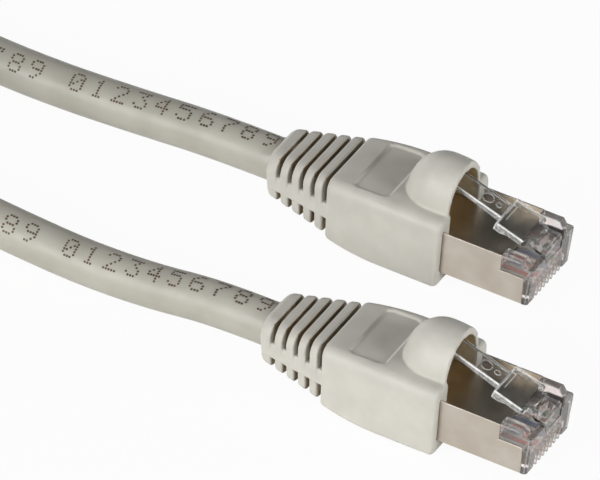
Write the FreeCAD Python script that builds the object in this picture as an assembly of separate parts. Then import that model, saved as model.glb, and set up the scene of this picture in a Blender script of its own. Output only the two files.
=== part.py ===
import FreeCAD, Part
import math
import os

# Shielded 8P8C patch cable, 1 m, with a moulded boot on each plug. Millimetres, Z up.
# The frame stands at the bottom centre of the box round the two plugs and their boots: Z is 0 at
# the boots' flat undersides and +X points out of the noses. Each plug is drawn in its own frame,
# with its origin at the bottom edge of the nose, then set down twice, as end a and end b.

V = FreeCAD.Vector
os.makedirs("parts", exist_ok=True)

# Plug housing, one clear moulding
plug_width = 11.68
housing_length = 21.5
nose_height = 5.7
nose_overhang = 0.43
nose_chamfer = 0.35
rail_height = 6.75
rail_half_gap = 4.2
rail_front = 0.55
rail_slope = 0.55
rail_edge = 0.4
channel_height = 4.75
ramp_front = 2.6
cavity_front = 9.2
cavity_half_width = 4.75
cavity_floor = 1.1
cavity_roof = 4.35

# Contacts and the wires that they bite into
contact_count = 8
contact_pitch = 1.02
contact_thickness = 0.34
contact_front = 0.6
contact_rear = 5.3
contact_recess = 0.3
contact_corner = 0.5
slot_width = 0.56
slot_rear = 5.6
slot_roof = 2.42
blade_top = 2.28
tooth_half_width = 0.45
tooth_places = (2.0, 4.1)
wire_height = 2.85
wire_diameter = 0.94
core_diameter = 0.46
wire_side_count = 6
core_side_count = 4
core_length = 8.3
wire_front = 1.3
channel_clearance = 0.04
bore_clearance = 0.01

# Load bar, and the wires' way from its row of eight to two rows of four in the cable
bar_front = 10.0
bar_length = 3.8
bar_half_width = 4.65
bar_height = 2.9
bar_edge = 0.4
spread_start = 14.3
spread_end = 16.0
gather_end = 21.3
row_offset = 0.55
row_pitch = 1.04

# Stamped shield
sheet = 0.25
shield_front = 0.87
low_panel_height = 4.08
step_place = 4.22
tall_panel_height = 6.46
tall_panel_end = 16.0
panel_slope = 1.5
rear_gap = 0.5
floor_plate_front = 8.3
roof_plate_front = 4.42
cradle_length = 4.4
cradle_slit = 1.2
neck_half_width = 1.2
neck_length = 1.95
neck_fall = 1.1
press_clearance = 0.02
shield_rear = housing_length + rear_gap + sheet
cradle_front = shield_rear + neck_length

# Clamp band, foil, drain wire and the jacket inside the boot
band_setback = 1.0
band_width = 2.6
band_thickness = 0.34
cable_diameter = 6.0
cable_side_count = 8
foil_bore = 4.64
foil_thickness = 0.1
foil_setback = 1.35
fold_thickness = 0.28
fold_bend = 0.3
fold_length = 4.6
drain_diameter = 0.36
drain_length = 5.0
band_front = cradle_front + band_setback
foil_front = shield_rear + foil_setback
jacket_front = foil_front + fold_bend
jacket_bore = foil_bore + 2 * (foil_thickness + press_clearance)

# Latch, drawn in the position that it springs back to
latch_angle = 18.5
hinge_back = 2.0
hinge_height = 6.95
latch_thickness = 0.9
latch_gap = 0.12
knuckle_sides = 12
latch_wide = 6.22
latch_narrow = 3.25
shoulder_place = 5.2
shoulder_drop = 0.4
shoulder_length = 1.1
latch_length = 13.4
tail_step = 0.12
tail_thickness = 0.7
tail_land = 0.85
tail_rounding = 1.0
mark_place = 8.1
mark_diameter = 1.55
mark_depth = 0.12
mark_sides = 10
root_half_width = 2.0
hinge_slot_length = 2.5
hinge_slot_width = 0.45
hinge_slot_start = 0.1

# Boot: body, panel, relief and hood
boot_front = 13.1
boot_under = 2.25
boot_top = 8.25
boot_half_width = 7.05
taper_length = 9.0
cradle_cover = 1.4
relief_length = 10.0
body_rear_half_width = 5.5
body_rear_top = 7.65
body_corner = 1.5
body_front_edge = 0.6
body_rear_edge = 0.5
body_section_count = 4
panel_setback = 3.35
panel_length = 5.25
panel_half_width = 5.3
panel_depth = 0.3
panel_corner = 0.9
rib_count = 5
rib_pitch = 1.87
slot_gap = 0.75
rib_edge = 0.3
rib_first_half_width = 5.35
rib_last_half_width = 4.2
rib_first_top = 7.5
rib_last_top = 6.6
rib_first_bottom = -2.05
rib_last_bottom = -1.0
rib_corner_share = 0.6
relief_wall = 0.45
spine_top = 3.65
spine_bottom = 1.25
collar_edge = 0.9
upper_corner_count = 3
lower_corner_count = 2
hood_half_width = 4.66
hood_height = 5.54
hood_crown = 15.9
hood_rear_length = 4.85
hood_front_length = 11.0
hood_front = 13.0
hood_side_wall = 0.6
hood_crown_wall = 1.15
hood_rear_wall = 1.1
hood_arch_count = 12
hood_inside_count = 10
body_rear = cradle_front + cradle_length + cradle_cover
boot_rear = body_rear + relief_length
taper_start = body_rear - taper_length
panel_rear = body_rear - panel_setback
panel_front = panel_rear - panel_length

# Inner mould under the boot
mould_wall = 0.65
mould_length = body_rear - mould_wall - shield_rear
mould_half_width = 4.7
mould_bottom = -1.35
mould_top = 7.05
mould_edge = 0.8

# Where the plugs lie: the second one is further forward and nearer
plug_step = 16.1
plug_spacing = 30.5

# The cable's route: coil centre, turns and layers
coil_centre = (-118.6, -8.0)
coil_mean_radius = 33.4
coil_turns = 3
coil_pitch = 6.6
coil_climb_turns = 0.5
bend_radius = 40.0
bend_a_count = 3
bend_b_count = 4

root_front = nose_overhang * hinge_height / nose_height - 0.02
end_a = V((boot_rear - plug_step - root_front) / 2, plug_spacing / 2, boot_under)
end_b = end_a + V(plug_step, -plug_spacing, 0)

# Further than any piece reaches, for cuts that go right through
beyond = 80.0
ends = {"a": end_a, "b": end_b}


def box(x0, x1, y0, y1, z0, z1):
    return Part.makeBox(x1 - x0, y1 - y0, z1 - z0, V(x0, y0, z0))


def regular(centre, normal, radius, sides, foot=0.5):
    """A regular polygon with a flat at its foot, or a corner with foot 0; radius is to a flat's middle."""
    across = V(0, 0, 1).cross(normal)
    across.normalize()
    upward = normal.cross(across)
    upward.normalize()
    reach = radius / math.cos(math.pi / sides)
    angles = [2 * math.pi * (i + foot) / sides - math.pi / 2 for i in range(sides)]
    corners = [centre + across * (reach * math.cos(t)) + upward * (reach * math.sin(t)) for t in angles]
    return Part.makePolygon(corners + corners[:1])


def prism(x0, x1, y, z, radius, sides, foot=0.5):
    """A bar along X with a regular section."""
    face = Part.Face(regular(V(x0, y, z), V(1, 0, 0), radius, sides, foot))
    return face.extrude(V(x1 - x0, 0, 0))


def channel(x0, x1, number):
    """Room for one wire, whose six-sided section stands on a corner, as the wire's does."""
    radius = (wire_diameter + channel_clearance) / 2
    return prism(x0, x1, contact_y(number), wire_height, radius, wire_side_count, 0)


def ring(x0, x1, inner, outer, height):
    """A tube round the cable's line, with the cable's own number of sides."""
    tube = prism(x0, x1, 0, height, outer, cable_side_count)
    return tube.cut(prism(x0 - 1, x1 + 1, 0, height, inner, cable_side_count))


def slab(outline, y0, y1):
    """A solid with the side view outline, a list of (x, z), from y0 to y1."""
    face = Part.Face(Part.makePolygon([V(x, y0, z) for x, z in outline + outline[:1]]))
    return face.extrude(V(0, y1 - y0, 0))


def join(shapes):
    return shapes[0].multiFuse(shapes[1:]).removeSplitter()


def corner_arc(cx, cy, radius, start, end, count):
    """Points on an arc, from one angle to another in degrees, with count pieces."""
    angles = [math.radians(start + (end - start) * i / count) for i in range(count + 1)]
    return [(cx + radius * math.cos(a), cy + radius * math.sin(a)) for a in angles]


def rounded_section(x, half_width, bottom, top, corner):
    """A rounded rectangle in the plane across X, its corners in short straight pieces."""
    y, low, high = half_width - corner, bottom + corner, top - corner
    upper, lower = upper_corner_count, lower_corner_count
    points = corner_arc(y, high, corner, 0, 90, upper) + corner_arc(-y, high, corner, 90, 180, upper)
    points += corner_arc(-y, low, corner, 180, 270, lower) + corner_arc(y, low, corner, 270, 360, lower)
    return Part.makePolygon([V(x, *point) for point in points + points[:1]])


def skinned(sections):
    """A solid through sections, each side from one to the next a plane."""
    faces = []
    for face in Part.makeLoft(sections, True, True).Faces:
        corners = [vertex.Point for vertex in face.OuterWire.OrderedVertexes]
        faces.append(Part.Face(Part.makePolygon(corners + corners[:1])))
    solid = Part.Solid(Part.Shell(faces))
    if solid.Volume < 0:
        solid.reverse()
    return solid


def contact_y(number):
    return (number - (contact_count - 1) / 2) * contact_pitch


def tube(points, diameter):
    """A tube on straight runs joined by tangent arcs, and its volume over section times length."""
    edges = []
    radii = []
    cursor = points[0]
    for before, here, after in zip(points, points[1:], points[2:]):
        back, ahead = (before - here), (after - here)
        run = min(back.Length, ahead.Length)
        half_turn = (math.pi - back.getAngle(ahead)) / 2
        radius = 0.45 * run / math.tan(half_turn)
        radii.append(radius)
        reach = radius * math.tan(half_turn)
        back.normalize()
        ahead.normalize()
        middle = back + ahead
        middle.normalize()
        start, end = here + back * reach, here + ahead * reach
        crown = here + middle * (radius / math.cos(half_turn) - radius)
        edges.append(Part.LineSegment(cursor, start).toShape())
        edges.append(Part.Arc(start, crown, end).toShape())
        cursor = end
    edges.append(Part.LineSegment(cursor, points[-1]).toShape())
    path = Part.Wire(edges)
    section = regular(points[0], points[1] - points[0], diameter / 2, cable_side_count)
    shape = path.makePipeShell([section], True, False)
    return shape, path.Length, radii, shape.Volume / (Part.Face(section).Area * path.Length)


# The plug's own pieces


def housing():
    half = plug_width / 2
    inner = half - sheet
    side_view = [(0, 0), (nose_overhang, nose_height), (-ramp_front, nose_height),
                 (-step_place, channel_height), (-housing_length, channel_height),
                 (-housing_length, sheet), (-floor_plate_front, sheet), (-floor_plate_front, 0)]
    body = slab(side_view, -inner, inner)
    nose_view = [(0, 0), (nose_overhang, nose_height), (-shield_front, nose_height), (-shield_front, 0)]
    nose = slab(nose_view, -half, half)
    rail_view = [(-rail_front, nose_height - 1), (-rail_front, nose_height),
                 (-rail_front - rail_slope, rail_height), (-step_place + 0.08, rail_height),
                 (-step_place + 0.08, low_panel_height + 0.08), (-rail_front, low_panel_height + 0.08)]
    rails = []
    for sign in (-1, 1):
        rail = slab(rail_view, min(sign * rail_half_gap, sign * half), max(sign * rail_half_gap, sign * half))
        outer = lambda e: abs(abs(e.BoundBox.YMin) - half) < 1e-4 and e.BoundBox.YLength < 1e-6
        top = lambda e: outer(e) and e.BoundBox.ZMin > nose_height - 1e-4
        rails.append(rail.makeChamfer(rail_edge, [e for e in rail.Edges if top(e)]))
    root_view = [(-hinge_back + 0.1, nose_height - 1), (-hinge_back + 0.1, hinge_height),
                 (root_front - 0.3, hinge_height), (root_front, hinge_height - 0.3),
                 (nose_overhang - 0.05, nose_height - 1)]
    root = slab(root_view, -root_half_width, root_half_width)
    shape = join([body, nose] + rails + [root])
    front_edges = lambda e: (e.BoundBox.YLength < 1e-6 and abs(abs(e.BoundBox.YMin) - half) < 1e-4
                             and e.BoundBox.XMin > -1e-4 and e.BoundBox.ZLength > 3)
    shape = shape.makeChamfer(nose_chamfer, [e for e in shape.Edges if front_edges(e)])
    seat = latch_thickness / 2 + latch_gap
    cuts = [knuckle_bar(V(-hinge_back, 0, hinge_height), seat, root_half_width + 1)]
    slot_x = -hinge_back + seat - 0.1
    cuts.append(box(slot_x, slot_x + hinge_slot_width, -hinge_slot_length / 2, hinge_slot_length / 2,
                    nose_height - 0.6, hinge_height + 1))
    for number in range(contact_count):
        y = contact_y(number)
        cuts.append(box(-slot_rear, 1, y - slot_width / 2, y + slot_width / 2, -1, slot_roof))
        cuts.append(channel(-cavity_front - 0.1, -wire_front + 0.05, number))
    cuts.append(box(-housing_length - 1, -cavity_front, -cavity_half_width, cavity_half_width,
                    cavity_floor, cavity_roof))
    return shape.cut(cuts)


def knuckle_bar(centre, radius, half_length):
    """A bar across the plug with many flats, round enough for the latch to turn in its seat."""
    start = centre - V(0, half_length, 0)
    face = Part.Face(regular(start, V(0, 1, 0), radius, knuckle_sides))
    return face.extrude(V(0, 2 * half_length, 0))


def tooth(place):
    tip = wire_height - core_diameter / 2
    base = blade_top
    return [(-place - tooth_half_width, base), (-place, tip), (-place + tooth_half_width, base)]


def contacts():
    blades = []
    for number in range(contact_count):
        y = contact_y(number)
        outline = [(-contact_front, contact_recess), (-contact_rear, contact_recess),
                   (-contact_rear, blade_top), (-contact_front, blade_top)]
        low, high = y - contact_thickness / 2, y + contact_thickness / 2
        blade = slab(outline, low, high)
        corner = lambda e: (e.BoundBox.YLength > 0.1 and e.BoundBox.ZMax < contact_recess + 1e-4
                            and e.BoundBox.XMin > -contact_front - 1e-4)
        blade = blade.makeChamfer(contact_corner, [e for e in blade.Edges if corner(e)])
        teeth = [slab(tooth(place), low, high) for place in tooth_places]
        blades.append(join([blade] + teeth))
    return Part.makeCompound(blades)


def wire_route(number):
    """Straight in the housing and the bar, then up or down into its row, then in beside the others."""
    y = contact_y(number)
    upper = 2 <= number <= 5
    row = (number - 3.5) if upper else (number - 0.5 - 1 if number < 2 else number - 6.5 + 1)
    z = wire_height + (row_offset if upper else -row_offset)
    return [V(-wire_front, y, wire_height), V(-spread_start, y, wire_height), V(-spread_end, y, z),
            V(-gather_end, row * row_pitch, z), V(-boot_rear, row * row_pitch, z)]


def insulated_wire(number):
    route = wire_route(number)
    path = Part.makePolygon(route)
    section = regular(route[0], V(-1, 0, 0), wire_diameter / 2, wire_side_count, 0)
    shape = path.makePipeShell([section], True, False, 1)
    y = contact_y(number)
    core_bore = core_diameter / 2 + bore_clearance
    half = contact_thickness / 2 + bore_clearance
    reach = tooth_half_width + bore_clearance
    cuts = [prism(1, -wire_front - core_length, y, wire_height, core_bore, core_side_count),
            box(-tooth_places[1] - reach, -tooth_places[0] + reach, y - half, y + half, 0, wire_height)]
    return shape.cut(cuts)


def pair(numbers):
    return Part.makeCompound([insulated_wire(number) for number in numbers])


def conductors():
    cores = []
    for number in range(contact_count):
        y = contact_y(number)
        cores.append(prism(-wire_front, -wire_front - core_length, y, wire_height, core_diameter / 2,
                           core_side_count))
    return Part.makeCompound(cores)


def load_bar():
    low = wire_height - bar_height / 2
    bar = box(-bar_front - bar_length, -bar_front, -bar_half_width, bar_half_width, low, low + bar_height)
    bar = bar.makeChamfer(bar_edge, [e for e in bar.Edges if e.BoundBox.XLength > bar_length - 0.1])
    return bar.cut([channel(-bar_front - bar_length - 1, -bar_front + 1, number)
                    for number in range(contact_count)])


def side_panel(grow=0.0):
    return [(-shield_front, -grow), (-shield_front, low_panel_height + grow),
            (-step_place, low_panel_height + grow), (-step_place, tall_panel_height + grow),
            (-tall_panel_end - grow, tall_panel_height + grow),
            (-tall_panel_end - panel_slope - grow, channel_height + sheet + grow),
            (-shield_rear - grow, channel_height + sheet + grow), (-shield_rear - grow, -grow)]


def cradle_inner():
    return cable_diameter / 2 + press_clearance + fold_thickness + press_clearance


def shield():
    half = plug_width / 2
    panels = [slab(side_panel(), -half, -half + sheet), slab(side_panel(), half - sheet, half)]
    floor_plate = box(-shield_rear, -floor_plate_front, -half, half, 0, sheet)
    roof_plate = box(-shield_rear, -roof_plate_front, -half, half, channel_height, channel_height + sheet)
    inner = cradle_inner()
    outer = inner + sheet
    cradle = ring(-cradle_front - cradle_length, -cradle_front, inner, outer, wire_height)
    slit = box(-boot_rear, 0, -cradle_slit / 2, cradle_slit / 2, wire_height, beyond)
    bottom = wire_height - outer
    low = -shield_rear - neck_fall
    neck_view = [(-shield_rear, 0), (-shield_rear, sheet), (low, bottom + sheet),
                 (-cradle_front - 0.4, bottom + sheet), (-cradle_front - 0.4, bottom), (low, bottom)]
    neck = slab(neck_view, -neck_half_width, neck_half_width)
    neck = neck.cut(prism(-boot_rear, low, 0, wire_height, inner, cable_side_count))
    return join(panels + [floor_plate, roof_plate, cradle.cut(slit), neck])


def clamp_band():
    inner = cradle_inner() + sheet + press_clearance
    band = ring(-band_front - band_width, -band_front, inner, inner + band_thickness, wire_height)
    slit = box(-boot_rear, 0, -cradle_slit / 2, cradle_slit / 2, wire_height, beyond)
    return band.cut(slit)


def foil_wrap():
    """The foil round the pairs, folded back over the cut end of the jacket."""
    inside = foil_bore / 2
    outside = inside + foil_thickness
    fold_in = cable_diameter / 2 + press_clearance
    fold_out = fold_in + fold_thickness
    sleeve = ring(-boot_rear, -foil_front, inside, outside, wire_height)
    fold = ring(-foil_front - fold_length, -foil_front, fold_in, fold_out, wire_height)
    lip = ring(-jacket_front + press_clearance, -foil_front, inside, fold_out, wire_height)
    return join([sleeve, fold, lip])


def drain_wire():
    """Out of the foil's mouth and back over the fold, in the slits of the cradle and the band."""
    lie = wire_height + cable_diameter / 2 + 2 * press_clearance + fold_thickness + drain_diameter / 2
    x = -foil_front + press_clearance + drain_diameter / 2
    corners = [V(x, 0, wire_height + jacket_bore / 2), V(x, 0, lie), V(x - drain_length, 0, lie)]
    half = drain_diameter / 2
    section = Part.makePolygon([corners[0] + V(a * half, b * half, 0)
                                for a, b in ((1, 1), (-1, 1), (-1, -1), (1, -1), (1, 1))])
    return Part.makePolygon(corners).makePipeShell([section], True, False, 1)


def jacket_end():
    return ring(-boot_rear, -jacket_front, jacket_bore / 2, cable_diameter / 2, wire_height)


def mould_block():
    front = -shield_rear - press_clearance
    block = box(front - mould_length, front, -mould_half_width, mould_half_width, mould_bottom, mould_top)
    return block.makeChamfer(mould_edge, [e for e in block.Edges if e.BoundBox.XLength > mould_length / 2])


def inner_mould():
    outer = cradle_inner() + sheet + press_clearance
    band = outer + band_thickness + press_clearance
    line = lambda x0, x1, radius: prism(x0, x1, 0, wire_height, radius, cable_side_count)
    cuts = [line(-boot_rear, 0, cable_diameter / 2 + press_clearance),
            line(-cradle_front - cradle_length - press_clearance, 0, band)]
    return mould_block().cut(cuts)


# Latch, in lengths back along it from the hinge and heights square to it


def latch():
    half = latch_thickness / 2
    low = -half - shoulder_drop
    side_view = [(0, half), (shoulder_place, half), (shoulder_place, low),
                 (shoulder_place - shoulder_length, low), (shoulder_place - 2 * shoulder_length, -half),
                 (0, -half)]
    wide = slab([(-s, t) for s, t in side_view], -latch_wide / 2, latch_wide / 2)
    wide = wide.cut(box(-half, 1, -latch_wide, latch_wide, -2, 2))
    upright = lambda e: e.BoundBox.XLength < 1e-6 and e.BoundBox.YLength < 1e-6 and e.BoundBox.XMin > -1
    wide = wide.makeChamfer(half, [e for e in wide.Edges if upright(e)])
    knuckle = knuckle_bar(V(0, 0, 0), half, root_half_width)
    web = box(-half - 0.2, 0, -root_half_width, root_half_width, -half, half)
    top = half - tail_step
    tail = box(-latch_length, -shoulder_place + 0.5, -latch_narrow / 2, latch_narrow / 2,
               top - tail_thickness, top)
    arc_x, arc_y = -latch_length + tail_rounding, latch_narrow / 2 - tail_rounding
    corners = corner_arc(arc_x, arc_y, tail_rounding, 180, 90, 4)
    corners += [(0, latch_narrow / 2)]
    corners += [(x, -y) for x, y in reversed(corners)]
    plan = [V(x, y, -beyond) for x, y in corners + corners[:1]]
    tail = tail.common(Part.Face(Part.makePolygon(plan)).extrude(V(0, 0, 2 * beyond)))
    land = box(-shoulder_place - 1, -shoulder_place + tail_land, -latch_narrow / 2, latch_narrow / 2,
               top, half + 1)
    ring_of = regular(V(-mark_place, 0, top - mark_depth), V(1e-9, 0, 1), mark_diameter / 2, mark_sides)
    mark = Part.Face(ring_of).extrude(V(0, 0, 1))
    shape = join([wide, knuckle, web, tail]).cut([land, mark])
    shape = shape.cut(box(hinge_slot_start, half + 1, -hinge_slot_length / 2, hinge_slot_length / 2, -2, 2))
    shape.rotate(V(0, 0, 0), V(0, 1, 0), latch_angle)
    shape.translate(V(-hinge_back, 0, hinge_height))
    return shape


# Boot and hood


def bent(x, start, end, at_start, at_end):
    """A size that stays level up to start and then falls along an arc, to at_end at end."""
    if x <= start:
        return at_start
    run, fall = end - start, at_start - at_end
    radius = (run**2 + fall**2) / (2 * fall)
    return at_start - radius + math.sqrt(radius**2 - (x - start) ** 2)


def body_top(x):
    return bent(x, taper_start, body_rear, boot_top, body_rear_top)


def body_section(x, inset=0.0):
    half_width = bent(x, taper_start, body_rear, boot_half_width, body_rear_half_width)
    return rounded_section(-x, half_width - inset, -boot_under + inset, body_top(x) - inset, body_corner)


def boot_body():
    """The block over the plug, its front and rear edges rolled over in two steps each."""
    edge, back = body_front_edge, body_rear_edge
    sections = [body_section(boot_front, edge * 0.7), body_section(boot_front + edge * 0.3, edge * 0.2),
                body_section(boot_front + edge)]
    step = (body_rear - back - taper_start) / (body_section_count - 1)
    sections += [body_section(taper_start + step * i) for i in range(body_section_count)]
    sections.append(body_section(body_rear - back * 0.25, back * 0.3))
    sections.append(body_section(body_rear, back * 0.9))
    return skinned(sections)


def panel_recess():
    """The sunk field on the boot's top, its floor an even depth under the sloping face."""
    xs = [panel_front + (panel_rear - panel_front) * i / 3 for i in range(4)]
    side_view = [(-x, body_top(x) - panel_depth) for x in xs]
    side_view += [(-panel_rear, beyond), (-panel_front, beyond)]
    field = slab(side_view, -panel_half_width, panel_half_width)
    x0, x1, y = -panel_rear + panel_corner, -panel_front - panel_corner, panel_half_width - panel_corner
    points = corner_arc(x1, y, panel_corner, 0, 90, 3) + corner_arc(x0, y, panel_corner, 90, 180, 3)
    points += corner_arc(x0, -y, panel_corner, 180, 270, 3) + corner_arc(x1, -y, panel_corner, 270, 360, 3)
    corners = [V(a, b, 0) for a, b in points]
    return field.common(Part.Face(Part.makePolygon(corners + corners[:1])).extrude(V(0, 0, beyond)))


def at_share(first, last, share):
    return first + (last - first) * share


def relief_section(x, inset=0.0):
    share = (x - body_rear) / (boot_rear - body_rear)
    half_width = at_share(rib_first_half_width, rib_last_half_width, share) - inset
    bottom = at_share(rib_first_bottom, rib_last_bottom, share) + inset
    top = at_share(rib_first_top, rib_last_top, share) - inset
    return rounded_section(-x, half_width, bottom, top, rib_corner_share * (top - bottom) / 2)


def relief():
    """Ribs on a thin sleeve, tied together by a spine down each side."""
    sleeve = cable_diameter / 2 + relief_wall
    pieces = [prism(-boot_rear + collar_edge, -body_rear + 1, 0, wire_height, sleeve, cable_side_count)]
    for number in range(rib_count):
        front = body_rear + slot_gap + number * rib_pitch
        last = number == rib_count - 1
        rear = boot_rear if last else front + rib_pitch - slot_gap
        back = collar_edge if last else rib_edge
        sections = [relief_section(front, rib_edge), relief_section(front + rib_edge),
                    relief_section(rear - back), relief_section(rear, back * 0.8)]
        pieces.append(skinned(sections))
    ends_of_spine = []
    for x in (body_rear - 1, boot_rear - collar_edge):
        share = (x - body_rear) / (boot_rear - body_rear)
        half_width = at_share(rib_first_half_width, rib_last_half_width, share) - press_clearance
        corners = [V(-x, -half_width, spine_bottom), V(-x, half_width, spine_bottom),
                   V(-x, half_width, spine_top), V(-x, -half_width, spine_top)]
        ends_of_spine.append(Part.makePolygon(corners + corners[:1]))
    pieces.append(skinned(ends_of_spine))
    return join(pieces)


def dome_share(x, rear_length):
    """How full the dome is at x, from 1 at its crown down to 0 at its rear end."""
    length = rear_length if x > hood_crown else hood_front_length
    return math.sqrt(max(0.0, 1 - ((x - hood_crown) / length) ** 2))


def arch(x, half_width, height, share, count):
    points = [(half_width * share * math.cos(a), boot_top + height * share * math.sin(a))
              for a in [math.pi * i / count for i in range(count + 1)]]
    return Part.makePolygon([V(-x, y, z) for y, z in points + points[:1]])


def dome(front, rear_length, half_width, height, count, steps):
    """A domed shell's outside or inside, standing on the boot's top and cut square at the front."""
    xs = [front, hood_crown]
    xs += [hood_crown + rear_length * math.sin(math.radians(84) * i / steps) for i in range(1, steps + 1)]
    sections = [arch(x, half_width, height, dome_share(x, rear_length), count) for x in xs]
    return skinned(sections)


def hood_inside():
    return dome(hood_front - 1, hood_rear_length - hood_rear_wall, hood_half_width - hood_side_wall,
                hood_height - hood_crown_wall, hood_inside_count, 4)


def hood():
    outside = dome(hood_front, hood_rear_length, hood_half_width, hood_height, hood_arch_count, 5)
    return outside.cut(hood_inside())


def latch_well():
    """The hood's opening, carried straight down through the boot to the shield."""
    inside = hood_inside()
    face = [f for f in inside.Faces if abs(f.CenterOfMass.z - boot_top) < 1e-3 and f.Area > 1]
    well = [f.extrude(V(0, 0, -boot_top + channel_height + sheet + press_clearance)) for f in face]
    return join(well) if len(well) > 1 else well[0]


def boot():
    half = plug_width / 2 + press_clearance
    shape = join([boot_body(), relief()])
    panel_slots = [slab(side_panel(press_clearance), -half, -half + sheet + 2 * press_clearance),
                   slab(side_panel(press_clearance), half - sheet - 2 * press_clearance, half)]
    pocket = box(-shield_rear - press_clearance, 0, -half, half, -press_clearance,
                 channel_height + sheet + press_clearance)
    bore = prism(-boot_rear - 1, -shield_rear, 0, wire_height, cable_diameter / 2 + press_clearance,
                 cable_side_count)
    return shape.cut([panel_recess(), pocket, bore, mould_block(), latch_well()] + panel_slots)


# The cable between the plugs


def coil_turn_count(from_angle, to_angle):
    return coil_turns + (2 * math.pi - from_angle - to_angle) / (2 * math.pi)


def join_angle(offset, radius, steps):
    """Where on the outer turn a lead that runs offset from the coil's centre line joins it."""
    half_step = 0.1
    for _ in range(30):
        straight = cable_diameter + bend_radius * math.tan(half_step)
        span = radius + bend_radius
        angle = math.asin((offset + bend_radius) / math.hypot(span, straight)) + math.atan(straight / span)
        half_step = (math.pi / 2 - angle) / steps / 2
    return angle


def coil_route():
    """Start and end angles, turns and outer radius. The leads' angles depend on the radius."""
    centre_y = coil_centre[1]
    outer = coil_mean_radius
    for _ in range(30):
        angle_a = join_angle(end_a.y - centre_y, outer, bend_a_count)
        angle_b = join_angle(centre_y - end_b.y, outer, bend_b_count)
        turns = coil_turn_count(angle_a, angle_b)
        outer = coil_mean_radius + coil_pitch * (turns - coil_climb_turns) / 4
    return angle_a, angle_b, turns, outer


angle_a, angle_b, turns, outer_radius = coil_route()
floor_height = cable_diameter / 2


def coil_place(turn):
    """Radius and height of the coil's middle line after so many turns."""
    inward = (turns - coil_climb_turns) / 2
    if turn <= inward:
        return outer_radius - coil_pitch * turn, floor_height
    if turn >= inward + coil_climb_turns:
        return outer_radius - coil_pitch * (turns - turn), floor_height + coil_pitch
    share = (turn - inward) / coil_climb_turns
    radius = outer_radius - coil_pitch * (inward + coil_climb_turns * (share - share**2))
    return radius, floor_height + coil_pitch * share**2 * (3 - 2 * share)


def coil_point(turn):
    radius, height = coil_place(turn)
    angle = angle_a + 2 * math.pi * turn
    return V(coil_centre[0] + radius * math.cos(angle), coil_centre[1] + radius * math.sin(angle), height)


def coil_heading(turn):
    step = 1e-5
    low, high = max(turn - step, 0), min(turn + step, turns)
    heading = coil_point(high) - coil_point(low)
    if turn <= 0 or turn >= turns:
        heading.z = 0
    heading.normalize()
    return heading


def arc_from(start, heading, end):
    chord = end - start
    along = V(chord)
    along.normalize()
    side = heading - along * heading.dot(along)
    side.normalize()
    half_angle = heading.getAngle(chord)
    crown = (start + end) / 2 + side * (chord.Length / 2 * math.tan(half_angle / 2))
    return Part.Arc(start, crown, end).toShape()


def biarc(start, heading, end, end_heading):
    """Two tangent arcs from start to end that leave and arrive on the two headings."""
    gap = end - start
    total = heading + end_heading
    a = 2 * (1 - heading.dot(end_heading))
    b = 2 * gap.dot(total)
    reach = (-b + math.sqrt(b * b + 4 * a * gap.dot(gap))) / (2 * a)
    middle = (start + heading * reach + end - end_heading * reach) / 2
    turned = arc_from(end, end_heading * -1, middle)
    turned.reverse()
    return [arc_from(start, heading, middle), turned]


def coil():
    quarters = [0.25 * i for i in range(int(turns / 0.25) + 1)]
    if turns - quarters[-1] < 0.12:
        quarters.pop()
    stops = quarters + [turns]
    start, end = coil_point(0), coil_point(turns)
    first, last = coil_heading(0), coil_heading(turns)
    begin = start - first * cable_diameter
    finish = end + last * cable_diameter
    edges = [Part.LineSegment(begin, start).toShape()]
    for here, there in zip(stops, stops[1:]):
        edges += biarc(coil_point(here), coil_heading(here), coil_point(there), coil_heading(there))
    edges.append(Part.LineSegment(end, finish).toShape())
    path = Part.Wire(edges)
    section = regular(begin, first, cable_diameter / 2, cable_side_count)
    shape = path.makePipeShell([section], True, False)
    area = Part.Face(section).Area
    return shape, path, begin, finish, shape.Volume / (area * path.Length)


def least_gap(path):
    """The least clear space between turns, measured between points a few diameters apart or more."""
    count = 1200
    points = [path_point(path, path.Length * i / count) for i in range(count + 1)]
    skip = int(6 * cable_diameter / (path.Length / count))
    least = 1e9
    for i in range(0, count + 1, 3):
        for j in range(i + skip, count + 1):
            least = min(least, (points[i] - points[j]).Length)
    return least - cable_diameter


def path_point(path, length):
    for edge in path.OrderedEdges:
        if length <= edge.Length:
            return edge.valueAt(edge.getParameterByLength(length))
        length -= edge.Length
    return path.OrderedEdges[-1].lastVertex().Point


def lead_bend(turn, angle, sign, steps):
    """Corners of the bend from the coil's straight end into the line of the plug, from the coil."""
    heading = coil_heading(turn) * (-1 if turn == 0 else 1)
    start = coil_point(turn) + heading * cable_diameter
    total = math.pi / 2 - angle
    half_step = total / steps / 2
    run = 2 * bend_radius * math.tan(half_step)
    corners = []
    here = V(start)
    bearing = math.atan2(heading.y, heading.x)
    for _ in range(steps):
        here = here + V(math.cos(bearing), math.sin(bearing), 0) * run
        corners.append(V(here))
        bearing += sign * 2 * half_step
    return start, corners


def lead_a_points():
    start = end_a + V(-boot_rear, 0, wire_height)
    coil_start, corners = lead_bend(0, angle_a, 1, bend_a_count)
    last_x = corners[-1].x
    free = start.x - last_x
    points = [start]
    for share, y, height in ((0.2, 0.0, start.z), (0.46, -0.12, 4.2), (0.74, 0.05, 3.3)):
        points.append(V(start.x - free * share, end_a.y + y, height))
    points += [V(corner.x, corner.y, floor_height) for corner in reversed(corners)]
    return points + [coil_start]


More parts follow.
